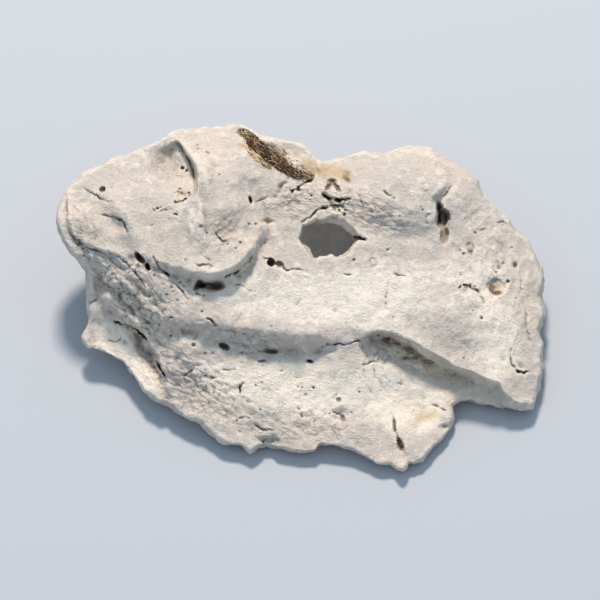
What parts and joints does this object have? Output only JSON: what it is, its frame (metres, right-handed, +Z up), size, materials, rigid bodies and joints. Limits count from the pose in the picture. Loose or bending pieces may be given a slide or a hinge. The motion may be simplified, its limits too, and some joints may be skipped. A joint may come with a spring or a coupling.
{
  "type": "holey rock",
  "caption": "Weathered pale limestone lump with ledges, a smooth open pocket and bored holes, a wisp of dried roots caught in its back groove; a natural ornament that lies on a flat worn patch.",
  "frame": {"origin": "centre of the flat worn patch that the rock rests on", "axes": "+X along the length, from the high head to the right lobe; +Y towards the back, away from the stepped face; +Z up"},
  "size_m": [0.1643, 0.1201, 0.0479],
  "materials": {
    "stone": "chalky, rough, unpolished",
    "roots": "dry, matted, rough"
  },
  "bodies": {
    "root": {"rock": "stone", "dried_roots": "roots"}
  },
  "joints": []
}
